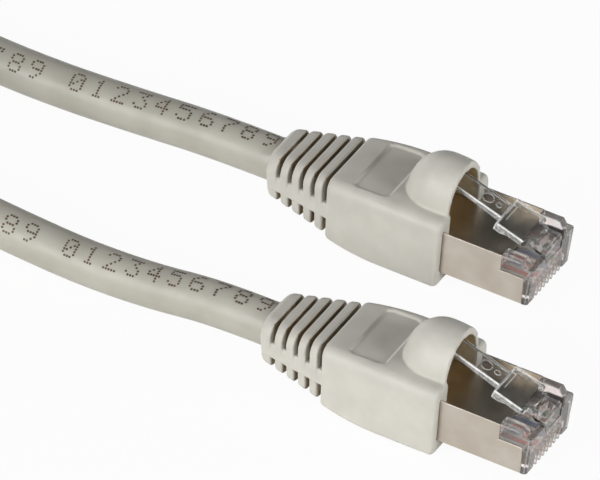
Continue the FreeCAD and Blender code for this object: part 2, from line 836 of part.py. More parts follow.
def lead_b_points():
    coil_end, corners = lead_bend(turns, angle_b, -1, bend_b_count)
    heights = (coil_end.z - 0.1, 8.5, 6.9, 5.2)
    end = end_b + V(-boot_rear, 0, wire_height)
    free = end.x - corners[-1].x
    points = [coil_end] + [V(corner.x, corner.y, z) for corner, z in zip(corners, heights)]
    for share, y, height in ((0.2, 0.05, 3.55), (0.4, 0.1, 3.0), (0.62, -0.1, 3.7), (0.82, 0.0, end.z)):
        points.append(V(corners[-1].x + free * share, end_b.y + y, height))
    return points + [end]


def keep(name, shape):
    shape.exportStep("parts/" + name + ".step")
    good = shape.isValid() and all(solid.isValid() for solid in shape.Solids)
    print(name, "solids", len(shape.Solids), "volume", round(shape.Volume, 2), "" if good else "NOT VALID")


pieces = {
    "housing": housing(),
    "latch": latch(),
    "contacts": contacts(),
    "load_bar": load_bar(),
    "shield": shield(),
    "clamp_band": clamp_band(),
    "pair_orange": pair((0, 1)),
    "pair_green": pair((2, 5)),
    "pair_blue": pair((3, 4)),
    "pair_brown": pair((6, 7)),
    "conductors": conductors(),
    "foil_wrap": foil_wrap(),
    "drain_wire": drain_wire(),
    "jacket_end": jacket_end(),
    "inner_mould": inner_mould(),
    "boot": boot(),
    "hood": hood(),
}
for name, shape in pieces.items():
    for end, place in ends.items():
        placed = shape.copy()
        placed.translate(place)
        keep(name + "_" + end, placed)

coil_shape, coil_path, coil_begin, coil_finish, coil_share = coil()
keep("coil", coil_shape)
free_length = coil_path.Length
for name, points in (("lead_a", lead_a_points()), ("lead_b", lead_b_points())):
    shape, length, radii, share = tube(points, cable_diameter)
    keep(name, shape)
    free_length += length
    print(name, "length", round(length, 1), "radii", [round(radius, 1) for radius in radii])
    print(name, "volume share", round(share, 4))
print("bends", [round(math.degrees(a), 1) for a in (angle_a, angle_b)], "from x",
      [round(points[i].x, 1) for points, i in ((lead_a_points(), 4), (lead_b_points(), bend_b_count))])
print("coil turns", round(turns, 3), "outer radius", round(outer_radius, 2))
print("coil length", round(coil_path.Length, 1), "volume share", round(coil_share, 4))
print("coil least gap", round(least_gap(coil_path), 2))
print("cable length", round(free_length + 2 * boot_rear, 1))
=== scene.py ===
import bpy
import bmesh
import math
from mathutils import Euler, Matrix, Vector, noise


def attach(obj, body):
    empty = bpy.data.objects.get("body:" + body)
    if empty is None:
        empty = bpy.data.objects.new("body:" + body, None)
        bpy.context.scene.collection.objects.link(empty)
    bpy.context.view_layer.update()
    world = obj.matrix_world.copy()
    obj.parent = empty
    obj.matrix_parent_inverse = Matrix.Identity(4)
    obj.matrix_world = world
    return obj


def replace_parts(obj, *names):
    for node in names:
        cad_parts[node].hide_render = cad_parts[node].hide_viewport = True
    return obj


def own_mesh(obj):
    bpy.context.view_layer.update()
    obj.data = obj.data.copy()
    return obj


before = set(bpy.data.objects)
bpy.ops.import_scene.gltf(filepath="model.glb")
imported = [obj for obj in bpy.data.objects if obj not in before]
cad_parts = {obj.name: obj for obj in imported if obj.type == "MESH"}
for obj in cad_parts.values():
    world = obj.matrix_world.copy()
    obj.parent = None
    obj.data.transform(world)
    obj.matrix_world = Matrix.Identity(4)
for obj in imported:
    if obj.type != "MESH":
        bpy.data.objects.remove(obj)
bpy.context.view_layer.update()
scene = bpy.context.scene
MM = 0.001
WHITE = (1, 1, 1, 1)

# Where each plug's nose stands in the frame, in mm: a piece's depth on the plug is counted back from here,
# its side from the plug's middle and its height from the housing's underside
PLUGS = {"a": (11.698, 15.25, 2.25), "b": (27.798, -15.25, 2.25)}


# Camera: far off with a long lens, looking down on the plugs from their near right

eye = bpy.data.cameras.new("camera")
eye.lens = 695.34
eye.sensor_width = 36.0
eye.clip_start = 0.1
eye.clip_end = 20.0
camera = bpy.data.objects.new("camera", eye)
camera.location = (0.500331, -1.056957, 0.93048)
camera.rotation_euler = Euler([math.radians(v) for v in (51.7801, -3.6387, 28.9378)])
scene.collection.objects.link(camera)
scene.camera = camera


# Shared tools

# A Mix node's colour sockets, which come after those for numbers and vectors
FIRST_COLOUR, SECOND_COLOUR, MIXED_COLOUR = 6, 7, 2

# The stretch of a noise's values over which a finish goes from its low end to its high one
COLOUR_STRETCH = {"From Min": 0.35, "From Max": 0.65}
GLOSS_STRETCH = {"From Min": 0.3, "From Max": 0.7}


def linear(code):
    """An sRGB hex colour as linear red, green, blue and alpha."""
    parts = [int(code[i:i + 2], 16) / 255 for i in (1, 3, 5)]
    return [c / 12.92 if c <= 0.04045 else ((c + 0.055) / 1.055) ** 2.4 for c in parts] + [1.0]


def add(tree, kind, inputs=None, **settings):
    """A new shader node with its settings, its inputs' values and its links."""
    made = tree.nodes.new(kind)
    for name, value in settings.items():
        setattr(made, name, value)
    for name, value in (inputs or {}).items():
        if isinstance(value, bpy.types.NodeSocket):
            tree.links.new(value, made.inputs[name])
        else:
            made.inputs[name].default_value = value
    return made


def finish_of(name, **values):
    """A material, its tree and its Principled shader with those values, and object coordinates in mm."""
    material = bpy.data.materials.new(name)
    material.use_nodes = True
    tree = material.node_tree
    shader = tree.nodes["Principled BSDF"]
    for socket, value in values.items():
        shader.inputs[socket.replace("_", " ")].default_value = value
    place = add(tree, "ShaderNodeTexCoord").outputs["Object"]
    in_mm = add(tree, "ShaderNodeMapping", {"Vector": place, "Scale": (1000, 1000, 1000)}).outputs["Vector"]
    return material, tree, shader, in_mm


def mottled(tree, shader, where, low, high, size_mm, detail=3.0):
    """Base colour that drifts between two colours over size_mm."""
    cloud = add(tree, "ShaderNodeTexNoise", {"Vector": where, "Scale": 1 / size_mm, "Detail": detail})
    spread = add(tree, "ShaderNodeMapRange", {"Value": cloud.outputs["Fac"], **COLOUR_STRETCH})
    tint = add(tree, "ShaderNodeMix", {"Factor": spread.outputs["Result"]}, data_type="RGBA")
    tint.inputs[FIRST_COLOUR].default_value = linear(low)
    tint.inputs[SECOND_COLOUR].default_value = linear(high)
    tree.links.new(tint.outputs[MIXED_COLOUR], shader.inputs["Base Color"])


def uneven_gloss(tree, shader, where, low, high, size_mm):
    """Roughness that drifts between low and high over size_mm."""
    cloud = add(tree, "ShaderNodeTexNoise", {"Vector": where, "Scale": 1 / size_mm, "Detail": 4.0})
    spread = add(tree, "ShaderNodeMapRange", {"Value": cloud.outputs["Fac"], **GLOSS_STRETCH,
                                              "To Min": low, "To Max": high})
    tree.links.new(spread.outputs["Result"], shader.inputs["Roughness"])


def grain(tree, shader, where, size_mm, depth_mm, strength=1.0):
    """Fine surface relief of that size and depth."""
    cloud = add(tree, "ShaderNodeTexNoise", {"Vector": where, "Scale": 1 / size_mm, "Detail": 2.0})
    bump = add(tree, "ShaderNodeBump", {"Height": cloud.outputs["Fac"], "Distance": depth_mm * MM,
                                        "Strength": strength})
    tree.links.new(bump.outputs["Normal"], shader.inputs["Normal"])


def finished(name, shape, materials):
    """The bmesh as an object in the scene, with those materials."""
    mesh = bpy.data.meshes.new(name)
    shape.to_mesh(mesh)
    shape.free()
    for material in materials:
        mesh.materials.append(material)
    made = bpy.data.objects.new(name, mesh)
    scene.collection.objects.link(made)
    return made


# Plastics, metals and ink


def moulded_pvc():
    # Soft grey PVC, injection moulded over the plug in a tool with a fine spark-eroded grain
    material, tree, shader, mm = finish_of("moulded_grey_pvc", IOR=1.46, Roughness=0.5)
    mottled(tree, shader, mm, "#C6C3BA", "#CDCAC1", 3.0)
    uneven_gloss(tree, shader, mm, 0.44, 0.6, 1.5)
    grain(tree, shader, mm, 0.22, 0.012)
    return material


def painted_groove_shade():
    # The tool's thin blades leave the grooves rough and dull; their darker brown colour is painted shade,
    # where little light reaches between the ribs
    material, tree, shader, mm = finish_of("grey_pvc_painted_groove_shade", IOR=1.46, Roughness=0.8)
    mottled(tree, shader, mm, "#97876E", "#A6977E", 1.0)
    grain(tree, shader, mm, 0.3, 0.02)
    return material


def painted_hood_shade():
    # Inside the hood the tool's core leaves the soft PVC dull; the brown tint is painted shade and painted
    # light, for the warm light that the thin wall lets into the shaded hollow
    material, tree, shader, mm = finish_of("grey_pvc_painted_hood_shade", IOR=1.46, Roughness=0.8)
    mottled(tree, shader, mm, "#CDB990", "#D9C69E", 1.0)
    grain(tree, shader, mm, 0.3, 0.02)
    return material


def extruded_pvc():
    # The jacket is extruded, so it is smoother than the boots and a little glossier
    material, tree, shader, mm = finish_of("extruded_grey_pvc", IOR=1.46, Roughness=0.42)
    mottled(tree, shader, mm, "#ADAA9E", "#B6B3A8", 5.0)
    uneven_gloss(tree, shader, mm, 0.36, 0.5, 2.0)
    grain(tree, shader, mm, 0.35, 0.01)
    return material


def clear_polycarbonate(name, tint, roughness, clarity, ior=1.25):
    # Polished tool faces give clear walls; the resin's flow leaves them slightly milky and uneven
    material, tree, shader, mm = finish_of(name, IOR=ior, Roughness=roughness, Transmission_Weight=clarity)
    mottled(tree, shader, mm, tint, "#F4F5F4", 1.6)
    grain(tree, shader, mm, 1.1, 0.01, 0.5)
    return material


def painted_highlight_polycarbonate(name, clarity):
    # Clear plastic is painted whiter along its edges as a highlight, where rounded edges catch the light; the
    # tool's parting left them rough
    material, tree, shader, mm = finish_of(name, IOR=1.4, Roughness=0.25, Transmission_Weight=clarity)
    mottled(tree, shader, mm, "#DCDBD8", "#FFFFFE", 0.6)
    grain(tree, shader, mm, 0.4, 0.01)
    return material


def plated_nickel():
    # Bright nickel over stamped brass: warm grey, with the fine lines of the rolled sheet beneath
    material, tree, shader, mm = finish_of("nickel_plated_brass", Metallic=1.0, Roughness=0.3)
    mottled(tree, shader, mm, "#BAB0A3", "#C6BEB2", 4.0, 2.0)
    uneven_gloss(tree, shader, mm, 0.3, 0.4, 1.6)
    lines = add(tree, "ShaderNodeMapping", {"Vector": mm, "Scale": (0.12, 5.0, 5.0)}).outputs["Vector"]
    grain(tree, shader, lines, 0.7, 0.002, 0.5)
    return material


def plain_metal(name, low, high, roughness):
    # Drawn, rolled or plated metal: even and bright, with a faint grain
    material, tree, shader, mm = finish_of(name, Metallic=1.0, Roughness=roughness)
    mottled(tree, shader, mm, low, high, 1.0)
    grain(tree, shader, mm, 0.3, 0.004)
    return material


def insulation(name, low, high):
    # Polyethylene drawn over a wire: full colour, with a waxy shine
    material, tree, shader, mm = finish_of(name, IOR=1.51, Roughness=0.35)
    mottled(tree, shader, mm, low, high, 1.5)
    grain(tree, shader, mm, 0.3, 0.004)
    return material


def marking_ink():
    # Dried solvent ink, thin enough that the jacket shows through here and there
    material, tree, shader, mm = finish_of("marking_ink", IOR=1.5, Roughness=0.6)
    mottled(tree, shader, mm, "#4A3B30", "#6A5848", 1.2)
    return material


boot_pvc = moulded_pvc()
# The grooves' darker brown is painted shade
groove_shade_pvc = painted_groove_shade()
# The brown inside the hood is painted shade
hood_shade_pvc = painted_hood_shade()
jacket_pvc = extruded_pvc()
ink = marking_ink()
housing_plastic = clear_polycarbonate("clear_polycarbonate", "#F8E9E4", 0.14, 0.88)
latch_plastic = clear_polycarbonate("clear_polycarbonate_latch", "#D8DADA", 0.03, 0.97, 1.22)
nickel = plated_nickel()
# Whiter clear plastic on eased edges and on the latch's sides: painted highlights
housing_painted_highlight = painted_highlight_polycarbonate("painted_highlight_polycarbonate", 0.72)
latch_painted_highlight = painted_highlight_polycarbonate("painted_highlight_polycarbonate_latch", 0.08)
latch_side_painted_highlight = painted_highlight_polycarbonate("painted_highlight_polycarbonate_side", 0.72)
gold = plain_metal("gold_plated_bronze", "#C9A25A", "#D9B66E", 0.22)
copper = plain_metal("drawn_copper", "#B8734A", "#C6845A", 0.3)
tinned = plain_metal("tinned_copper", "#AFACA5", "#BDBBB5", 0.35)
foil = plain_metal("aluminium_foil", "#C2C2C4", "#D0D0D2", 0.3)
white_skin = insulation("white_polyethylene", "#DAD8D2", "#E6E5E0")
skins = {
    "orange": insulation("orange_polyethylene", "#D0461C", "#DC5A30"),
    "green": insulation("green_polyethylene", "#08763C", "#168A4C"),
    "blue": insulation("blue_polyethylene", "#1D5590", "#2C68A4"),
    "brown": insulation("brown_polyethylene", "#74391A", "#844626"),
}
inner_plastic = insulation("natural_polyethylene", "#CFCDC2", "#D8D6CC")

dressed = {"housing": housing_plastic, "latch": latch_plastic, "load_bar": housing_plastic,
           "shield": nickel, "clamp_band": tinned, "contacts": gold, "conductors": copper,
           "foil_wrap": foil, "drain_wire": tinned, "jacket_end": jacket_pvc,
           "inner_mould": inner_plastic, "boot": boot_pvc, "hood": boot_pvc}
dressed.update({"pair_" + colour: skin for colour, skin in skins.items()})

# Each pair lies about a middle line, and its white wire is on one side of it. The lines close in between the
# two depths where the wires gather. For each pair: the line's place in front, its place behind, and the side
WHITE_SIDE = {
    "orange": (-3.06, -1.04, -1),
    "green": (0.0, 0.0, -1),
    "blue": (0.0, 0.0, 1),
    "brown": (3.06, 1.04, -1),
}
GATHER = (16.0, 21.3)


def whiten(mesh, place, front, rear, side):
    """White skin on the faces of one wire of a pair."""
    mesh.materials.append(white_skin)
    for face in mesh.polygons:
        x = place[0] - face.center.x / MM
        share = min(max((x - GATHER[0]) / (GATHER[1] - GATHER[0]), 0.0), 1.0)
        middle = front + (rear - front) * share
        if (face.center.y / MM - place[1] - middle) * side > 0:
            face.material_index = 1


for end, place in PLUGS.items():
    for name, material in dressed.items():
        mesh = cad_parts[name + "_" + end].data
        mesh.materials.clear()
        mesh.materials.append(material)
    for colour, sides in WHITE_SIDE.items():
        whiten(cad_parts["pair_" + colour + "_" + end].data, place, *sides)


# Hard pieces: copies of their solids with the edges eased, as moulding and stamping leave them

# For each: how wide its edges are, their finish (on clear plastic, a painted highlight), its side faces' own
# finish if they have one (a painted highlight on the latch), and its slot
EASED = {
    "housing": (0.1, housing_painted_highlight, None, "clear_polycarbonate"),
    "latch": (0.17, latch_painted_highlight, latch_side_painted_highlight, "clear_polycarbonate_latch"),
    "shield": (0.05, nickel, None, "nickel_plated_brass"),
}
EDGES, SIDES = 1, 2

# Only edges longer than this, in mm, and sharper than this are eased
SHORTEST_EASED = 0.9
SHARP = math.radians(40)

# Faces as level as this are one face, and points as near as this, in metres, are one point
FLAT = math.radians(0.5)
SAME_POINT = 1e-7

# How much of a side face's normal points sideways, for the latch's sides that take a painted highlight
SIDEWAYS = 0.9


def eased(name, end, width, edge_finish, side_finish, slot):
    """A copy of a solid with its long, sharp edges rounded, where clear plastic is painted whiter as a
    highlight.
    """
    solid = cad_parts[name + "_" + end]
    shape = bmesh.new()
    shape.from_mesh(solid.data)
    bmesh.ops.remove_doubles(shape, verts=shape.verts, dist=SAME_POINT)
    bmesh.ops.dissolve_limit(shape, angle_limit=FLAT, verts=shape.verts, edges=shape.edges)
    for face in shape.faces:
        if side_finish and abs(face.normal.y) > SIDEWAYS:
            face.material_index = SIDES
    corners = [edge for edge in shape.edges if edge.is_manifold and edge.calc_face_angle() > SHARP
               and edge.calc_length() > SHORTEST_EASED * MM]
    rounded = bmesh.ops.bevel(shape, geom=corners, offset=width * MM, segments=2, profile=0.5,
                              affect="EDGES", material=-1, clamp_overlap=False)
    for face in rounded["faces"]:
        face.material_index = EDGES
    finishes = [solid.data.materials[0], edge_finish] + ([side_finish] if side_finish else [])
    made = finished("eased_" + name + "_" + end, shape, finishes)
    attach(made, "latch_" + end if name == "latch" else "cable")
    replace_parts(made, name + "_" + end)


# The latch's root on the plug, and its tongue's slope and half thickness
LATCH_ROOT = (-2.0, 0.0, 6.95)
LATCH_ANGLE = math.radians(18.5)
TAIL_TOP = 0.33

# Each ejector mark's distance from the root and its radius, and half the thickness of its rim
MARKS = ((8.1, 0.8), (6.4, 0.4))
MARK_RIM = 0.09


def ejector_marks(end, place):
    """The raised rims that two ejector pins leave on the latch's tail."""
    shape = bmesh.new()
    for along, radius in MARKS:
        middle = Vector((-along, 0, TAIL_TOP))
        upright = Matrix.Translation(middle + Vector((radius, 0, 0))) @ Matrix.Rotation(math.pi / 2, 4, "X")
        rim = bmesh.ops.create_circle(shape, segments=8, radius=MARK_RIM, matrix=upright)["verts"]
        edges = list(dict.fromkeys(edge for vert in rim for edge in vert.link_edges))
        bmesh.ops.spin(shape, geom=rim + edges, axis=(0, 0, 1), cent=middle, angle=2 * math.pi, steps=24,
                       use_merge=True)
    bmesh.ops.recalc_face_normals(shape, faces=shape.faces)
    bmesh.ops.rotate(shape, cent=(0, 0, 0), matrix=Matrix.Rotation(LATCH_ANGLE, 3, "Y"), verts=shape.verts)
    bmesh.ops.translate(shape, vec=[a + b for a, b in zip(LATCH_ROOT, place)], verts=shape.verts)
    bmesh.ops.scale(shape, vec=(MM, MM, MM), verts=shape.verts)
    for face in shape.faces:
        face.smooth = True
    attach(finished("ejector_marks_" + end, shape, [housing_painted_highlight]), "latch_" + end)


for end, place in PLUGS.items():
    ejector_marks(end, place)
    for name, finish in EASED.items():
        eased(name, end, *finish)


# The cable, from boot a through the coil to boot b, in mm

LEAD_A = [(-28.30, 15.25, 5.10), (-37.45, 15.25, 5.10), (-49.35, 15.13, 4.20), (-62.17, 15.30, 3.30),
          (-74.06, 15.93, 3.00), (-81.03, 16.97, 3.00), (-87.70, 19.21, 3.00), (-93.88, 22.58, 3.00)]
LEAD_B = [(-86.41, -30.58, 9.60), (-80.65, -24.90, 9.50), (-73.88, -20.49, 8.50), (-66.35, -17.52, 6.90),
          (-58.39, -16.12, 5.20), (-49.15, -15.20, 3.55), (-39.92, -15.15, 3.00), (-29.75, -15.35, 3.70),
          (-20.52, -15.25, 5.10), (-12.20, -15.25, 5.10)]
CABLE_DIAMETER = 6.0
COIL_CENTRE = (-118.6, -8.0)
COIL_START = 1.0441344
COIL_TURNS = 3.7120863
COIL_OUTER = 38.6999
COIL_PITCH = 6.6
COIL_CLIMB = 0.5
POINTS_PER_TURN = 24


def coil_point(turn):
    """The coil winds inwards on the floor, climbs in half a turn, and winds out again on top."""
    inward = (COIL_TURNS - COIL_CLIMB) / 2
    if turn <= inward:
        radius, height = COIL_OUTER - COIL_PITCH * turn, CABLE_DIAMETER / 2
    elif turn >= inward + COIL_CLIMB:
        radius, height = COIL_OUTER - COIL_PITCH * (COIL_TURNS - turn), CABLE_DIAMETER / 2 + COIL_PITCH
    else:
        share = (turn - inward) / COIL_CLIMB
        radius = COIL_OUTER - COIL_PITCH * (inward + COIL_CLIMB * (share - share**2))
        height = CABLE_DIAMETER / 2 + COIL_PITCH * share**2 * (3 - 2 * share)
    angle = COIL_START + 2 * math.pi * turn
    return (COIL_CENTRE[0] + radius * math.cos(angle), COIL_CENTRE[1] + radius * math.sin(angle), height)


coil_steps = int(COIL_TURNS * POINTS_PER_TURN)
coil = [coil_point(COIL_TURNS * step / coil_steps) for step in range(coil_steps + 1)]
route = LEAD_A + coil + LEAD_B
line = bpy.data.curves.new("cable", "CURVE")
line.dimensions = "3D"
spline = line.splines.new("NURBS")
spline.points.add(len(route) - 1)
for point, (x, y, z) in zip(spline.points, route):
    point.co = (x * MM, y * MM, z * MM, 1)
spline.order_u = 3
spline.use_endpoint_u = True
spline.resolution_u = 6
line.bevel_depth = CABLE_DIAMETER / 2 * MM
line.bevel_resolution = 12
line.use_fill_caps = True
line.materials.append(jacket_pvc)
cable = bpy.data.objects.new("cable", line)
scene.collection.objects.link(cable)
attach(cable, "cable")
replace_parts(cable, "lead_a", "coil", "lead_b")


# Print along the jacket, as an ink-jet coder leaves it: plain numbers in dots, near the top of each lead

# Each figure is five columns of seven dots, and a column's top dot counts 1, the next 2, and so on to 64
FIGURES = {
    "0": (62, 81, 73, 69, 62),
    "1": (0, 66, 127, 64, 0),
    "2": (66, 97, 81, 73, 70),
    "3": (33, 65, 69, 75, 49),
    "4": (24, 20, 18, 127, 16),
    "5": (39, 69, 69, 69, 57),
    "6": (60, 74, 73, 73, 48),
    "7": (1, 113, 9, 5, 3),
    "8": (54, 73, 73, 73, 54),
    "9": (6, 73, 73, 41, 30),
    " ": (0, 0, 0, 0, 0),
}
PRINT_TEXT = "9876543210 "
DOT_ROWS = 7
DOT_PITCH = 0.4
DOT_RADIUS = 0.18
INK_HEIGHT = 0.012
FIGURE_WIDTH = 4 * DOT_PITCH
FIGURE_PITCH = 3.1

# How finely a lead is walked along, how far from its top the row starts beside the boot and how much it turns
# a mm, and what is left free at the boot
PRINT_STEP = 0.05
PRINT_LEAN = 0.05
PRINT_TWIST = 0.016
PRINT_MARGIN = 0.6


def travelled(points):
    """Places along a lead's curve with their directions: each bend lies between its legs' middles."""
    places = []
    for before, corner, after in zip(points, points[1:], points[2:]):
        start, bend, stop = [Vector(p) for p in (before, corner, after)]
        start, stop = (start + bend) / 2, (bend + stop) / 2
        count = int((stop - start).length / PRINT_STEP)
        for step in range(count):
            t = step / count
            place = start * (1 - t) ** 2 + bend * 2 * t * (1 - t) + stop * t**2
            places.append((place, ((bend - start) * (1 - t) + (stop - bend) * t).normalized()))
    rest = Vector(points[-1]) - stop
    count = int(rest.length / PRINT_STEP)
    return places + [(stop + rest * step / count, rest.normalized()) for step in range(count)]


def dot_on(place, along, turn):
    """Where a dot sits on the jacket, facing outwards, at a place on the cord and a turn from its top."""
    across = Vector((0, 0, 1)).cross(along).normalized()
    outward = (along.cross(across) * math.cos(turn) + across * math.sin(turn)).normalized()
    spot = Matrix.Translation(place + outward * (CABLE_DIAMETER / 2 + INK_HEIGHT))
    return spot @ outward.to_track_quat("Z", "Y").to_matrix().to_4x4()


def printed(name, points):
    """Figures on a lead, set from the boot back, which turn with the jacket's slight twist."""
    places = travelled(points)
    shape = bmesh.new()
    run = len(places) * PRINT_STEP - FIGURE_WIDTH - PRINT_MARGIN
    for number in range(int(run / FIGURE_PITCH)):
        figure = PRINT_TEXT[number % len(PRINT_TEXT)]
        start = run - number * FIGURE_PITCH
        lean = PRINT_LEAN + PRINT_TWIST * number * FIGURE_PITCH
        for column, bits in enumerate(FIGURES[figure]):
            place, along = places[int((start + column * DOT_PITCH) / PRINT_STEP)]
            for row in range(DOT_ROWS):
                if bits >> row & 1:
                    turn = (DOT_ROWS // 2 - row) * DOT_PITCH / (CABLE_DIAMETER / 2) - lean
                    bmesh.ops.create_circle(shape, cap_ends=True, segments=6, radius=DOT_RADIUS,
                                            matrix=dot_on(place, along, turn))
    bmesh.ops.scale(shape, vec=(MM, MM, MM), verts=shape.verts)
    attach(finished(name, shape, [ink]), "cable")


printed("print_a", LEAD_A[::-1])
printed("print_b", LEAD_B)


# Boots, in mm back from the nose: drawn whole with the hood, then parted where the hood starts to flex


def skin(rings):
    """A closed shape through rings of points, which all have the same count."""
    shape = bmesh.new()
    loops = []
    for ring in rings:
        made = bmesh.ops.create_circle(shape, segments=len(ring), radius=1.0)["verts"]
        for vert, point in zip(made, ring):
            vert.co = point
        shape.edges.ensure_lookup_table()
        loops.append(shape.edges[-len(ring):])
    for low, high in zip(loops, loops[1:]):
        bmesh.ops.bridge_loops(shape, edges=low + high)
    for end in (loops[0], loops[-1]):
        bmesh.ops.edgeloop_fill(shape, edges=end)
    bmesh.ops.recalc_face_normals(shape, faces=shape.faces)
    return shape


def block(x0, x1, y0, y1, z0, z1):
    """A box between two depths back from the nose."""
    shape = bmesh.new()
    size = Matrix.Diagonal((x1 - x0, y1 - y0, z1 - z0, 1))
    middle = Matrix.Translation((-(x0 + x1) / 2, (y0 + y1) / 2, (z0 + z1) / 2))
    bmesh.ops.create_cube(shape, size=1.0, matrix=middle @ size)
    return shape


def arc_points(cy, cz, ry, rz, start, end, steps):
    """Points along part of an ellipse about (cy, cz), between two angles in degrees."""
    angles = [math.radians(start + (end - start) * step / steps) for step in range(steps + 1)]
    return [(cy + ry * math.cos(a), cz + rz * math.sin(a)) for a in angles]


# How many edges a rounded corner has
CORNER_STEPS = 8


def rounded_ring(x, half_width, foot_half_width, bottom, top, corner, under):
    """A cross-section at depth x, with its own width at the foot and its own corners above and below."""
    y, high, foot, low = half_width - corner, top - corner, foot_half_width - under, bottom + under
    centres = [(y, high, corner), (-y, high, corner), (-foot, low, under), (foot, low, under)]
    points = []
    for turn, (side, height, radius) in enumerate(centres):
        points += arc_points(side, height, radius, radius, 90 * turn, 90 * turn + 90, CORNER_STEPS)
    return [(-x, a, b) for a, b in points]


# The body: its box, where it starts to taper along an arc, its size at the rear end, its lower and upper
# corners, and how its end edges are rolled over
BOOT_FRONT = 12.8
BOOT_UNDER = -2.25
BOOT_TOP = 8.25
BOOT_HALF_WIDTH = 7.05
TAPER_START = 21.0
BODY_REAR = 30.0
BODY_REAR_HALF_WIDTH = 6.15
BODY_REAR_FOOT = 5.6
BODY_REAR_TOP = 7.65
BODY_CORNERS = (0.9, 1.5)
INSET_CORNER = 0.8
FRONT_ROUNDING = 0.7
REAR_ROUNDING = 0.5
ROLL_ANGLES = (0, 22, 45, 68, 90)
TAPER_STEPS = 8


def bent(x, at_start, at_end):
    """Level up to the taper's start, then down along an arc to the body's rear."""
    if x <= TAPER_START:
        return at_start
    run, fall = BODY_REAR - TAPER_START, at_start - at_end
    radius = (run**2 + fall**2) / (2 * fall)
    return at_start - radius + math.sqrt(radius**2 - (x - TAPER_START) ** 2)


def body_ring(x, inset):
    """The body's cross-section at depth x, drawn in by inset where an end edge is rolled over."""
    half_width = bent(x, BOOT_HALF_WIDTH, BODY_REAR_HALF_WIDTH) - inset
    foot = bent(x, BOOT_HALF_WIDTH, BODY_REAR_FOOT) - inset
    top = bent(x, BOOT_TOP, BODY_REAR_TOP) - inset
    low, high = [corner - INSET_CORNER * inset for corner in BODY_CORNERS]
    return rounded_ring(x, half_width, foot, BOOT_UNDER + inset, top, high, low)


def rolled(front, rear, front_radius, rear_radius, middle):
    """Depths and insets along a body whose two end edges are rolled over."""
    rolls = [(1 - math.cos(math.radians(a)), 1 - math.sin(math.radians(a))) for a in ROLL_ANGLES]
    places = [(front + front_radius * back, front_radius * inset) for back, inset in rolls]
    places += [(x, 0.0) for x in middle]
    return places + [(rear - rear_radius * back, rear_radius * inset) for back, inset in reversed(rolls)]


def body():
    """The boot's body, without its relief."""
    taper = BODY_REAR - TAPER_START
    middle = [TAPER_START + taper * step / TAPER_STEPS for step in range(TAPER_STEPS)]
    return skin([body_ring(x, inset) for x, inset in
                 rolled(BOOT_FRONT, BODY_REAR, FRONT_ROUNDING, REAR_ROUNDING, middle)])


# The strain relief's ribs. Each pair holds at the body's rear and at the boot's
BOOT_REAR = 40.0
RIB_COUNT = 5
RIB_PITCH = 1.87
SLOT_GAP = 0.58
RIB_ROUNDING = 0.28
COLLAR_ROUNDING = 0.9
RIB_HALF_WIDTHS = (6.15, 4.35)
RIB_FEET = (5.4, 3.7)
RIB_TOPS = (7.5, 6.3)
RIB_BOTTOMS = (-1.95, -0.75)
RIB_CORNERS = (1.6, 2.2)
RIB_LOW_CORNERS = (1.0, 1.4)

# The sleeve round the cable, the spine's lower and upper edge, and how far one shape is sunk in the next
CABLE_LINE = 2.85
SLEEVE_RADIUS = 3.25
SLEEVE_SIDES = 36
SPINE = (1.25, 3.65)
SPINE_CORNER = 0.2
SPINE_INSET = 0.04
SUNK = 1


def between(pair, x):
    """A pair's value at depth x."""
    share = (x - BODY_REAR) / (BOOT_REAR - BODY_REAR)
    return pair[0] + (pair[1] - pair[0]) * share


def rib_ring(x, inset):
    """A rib's cross-section at depth x, drawn in by inset."""
    bottom, top = between(RIB_BOTTOMS, x) + inset, between(RIB_TOPS, x) - inset
    return rounded_ring(x, between(RIB_HALF_WIDTHS, x) - inset, between(RIB_FEET, x) - inset, bottom, top,
                        between(RIB_CORNERS, x), between(RIB_LOW_CORNERS, x))


def relief():
    """Five ribs on a sleeve, tied by a spine down each side; the last one rolls in to the cable."""
    ends = (BODY_REAR - SUNK, BOOT_REAR - COLLAR_ROUNDING)
    last_turn = 360 - 360 // SLEEVE_SIDES
    round_section = arc_points(0, CABLE_LINE, SLEEVE_RADIUS, SLEEVE_RADIUS, 0, last_turn, SLEEVE_SIDES - 1)
    shapes = [skin([[(-x, y, z) for y, z in round_section] for x in ends])]
    for number in range(RIB_COUNT):
        front = BODY_REAR + SLOT_GAP + number * RIB_PITCH
        last = number == RIB_COUNT - 1
        rear = BOOT_REAR if last else front + RIB_PITCH - SLOT_GAP
        rear_radius = COLLAR_ROUNDING if last else RIB_ROUNDING
        places = rolled(front, rear, RIB_ROUNDING, rear_radius, [])
        shapes.append(skin([rib_ring(x, inset) for x, inset in places]))
    spine = []
    for x in ends:
        half_width = (between(RIB_HALF_WIDTHS, x) + between(RIB_FEET, x)) / 2 - SPINE_INSET
        spine.append(rounded_ring(x, half_width, half_width, *SPINE, SPINE_CORNER, SPINE_CORNER))
    return shapes + [skin(spine)]


# The hood: the depth of its crown and, outside and inside, its length behind the crown, half width and height
HOOD_CROWN = 15.9
HOOD_FRONT = 13.0
HOOD_FRONT_LENGTH = 11.0
HOOD_OUTSIDE = (4.85, 4.66, 5.54)
HOOD_INSIDE = (3.75, 4.06, 4.39)
DOME_STEPS = 10
DOME_SWEEP = math.radians(86)
ARCH_STEPS = 24


